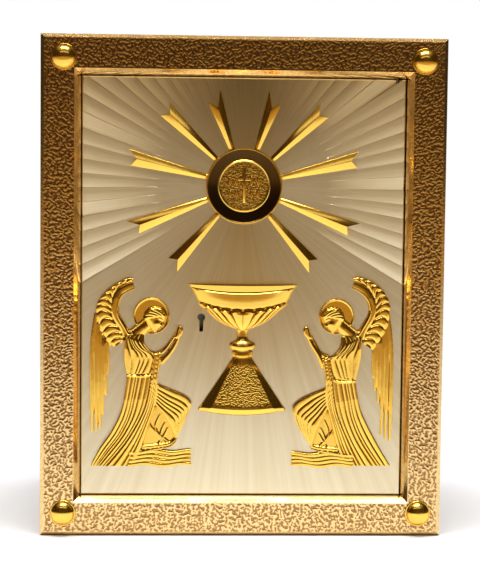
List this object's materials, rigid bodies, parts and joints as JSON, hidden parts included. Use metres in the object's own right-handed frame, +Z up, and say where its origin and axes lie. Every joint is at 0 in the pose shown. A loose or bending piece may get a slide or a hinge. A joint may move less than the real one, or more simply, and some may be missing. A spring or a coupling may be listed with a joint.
{
  "type": "tabernacle",
  "caption": "Free-standing metal church tabernacle: square-cornered cabinet with a mitred gold frame, pleated satin door, sunburst medallion, chalice and kneeling angels in relief.",
  "frame": {"origin": "centre of the underside of the whole part, on the surface it stands on", "axes": "+Z up the cabinet's height, +Y from the front to the back, +X to the right seen from the front"},
  "size_m": [0.404, 0.33, 0.5],
  "materials": {
    "sheet_brass": "satin lacquered brass sheet",
    "hammered_gold": "gilt, hammered and stippled",
    "polished_gold": "gilt, polished",
    "stippled_gold": "gilt, stippled ground",
    "satin_plate": "satin champagne plating, brushed",
    "steel": "brushed"
  },
  "bodies": {
    "cabinet": {"bottom_panel": "sheet_brass", "top_panel": "sheet_brass", "side_panel_left": "sheet_brass", "side_panel_right": "sheet_brass", "back_panel": "sheet_brass", "frame_rail_bottom": "hammered_gold", "frame_rail_top": "hammered_gold", "frame_rail_left": "hammered_gold", "frame_rail_right": "hammered_gold", "stud_bottom_left": "polished_gold", "stud_bottom_right": "polished_gold", "stud_top_left": "polished_gold", "stud_top_right": "polished_gold", "hinge_pin_bottom": "steel", "hinge_pin_top": "steel"},
    "door": {"door_leaf": "satin_plate", "sunburst": "polished_gold", "medallion": "stippled_gold", "chalice": "polished_gold", "angel_left": "polished_gold", "angel_right": "polished_gold", "lock_case": "steel"},
    "bolt": {"lock_bolt": "steel"}
  },
  "joints": [
    {"name": "door_hinge", "type": "hinge", "parent": "cabinet", "child": "door", "pos_m": [0.153, -0.1425, 0.25], "axis": [0, 0, 1], "range_deg": [0, 100]},
    {"name": "bolt_slide", "type": "slide", "parent": "door", "child": "bolt", "axis": [-1, 0, 0], "range_m": [0, 0.01]}
  ]
}
